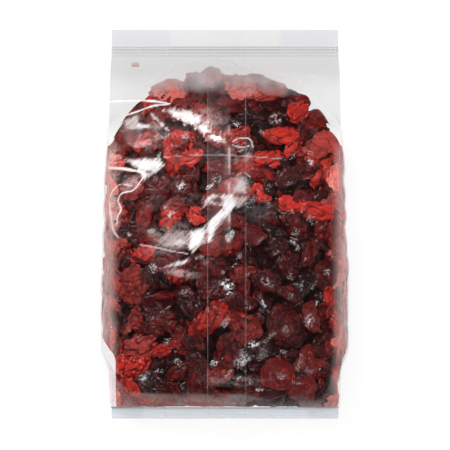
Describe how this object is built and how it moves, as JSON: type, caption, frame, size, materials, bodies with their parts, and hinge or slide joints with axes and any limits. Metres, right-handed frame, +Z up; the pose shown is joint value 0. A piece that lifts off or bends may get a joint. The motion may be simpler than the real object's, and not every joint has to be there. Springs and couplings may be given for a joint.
{
  "type": "clear bag of dried cranberries",
  "caption": "Clear gusseted film bag filled with dried red berries, heat sealed at both ends, with a lap seam down the shown side; it lies flat on its back.",
  "frame": {"origin": "centre of the bag's outline on the surface that it lies on", "axes": "+X across the bag to the shown side's right, +Y along the bag towards the header, +Z up out of the shown side"},
  "size_m": [0.1121, 0.175, 0.0433],
  "materials": {
    "film": "clear glossy film drawn over dark red berries",
    "berries": "sticky, wrinkled dried berry skin from bright red to near black"
  },
  "bodies": {
    "root": {"bag": "film"}
  },
  "joints": []
}
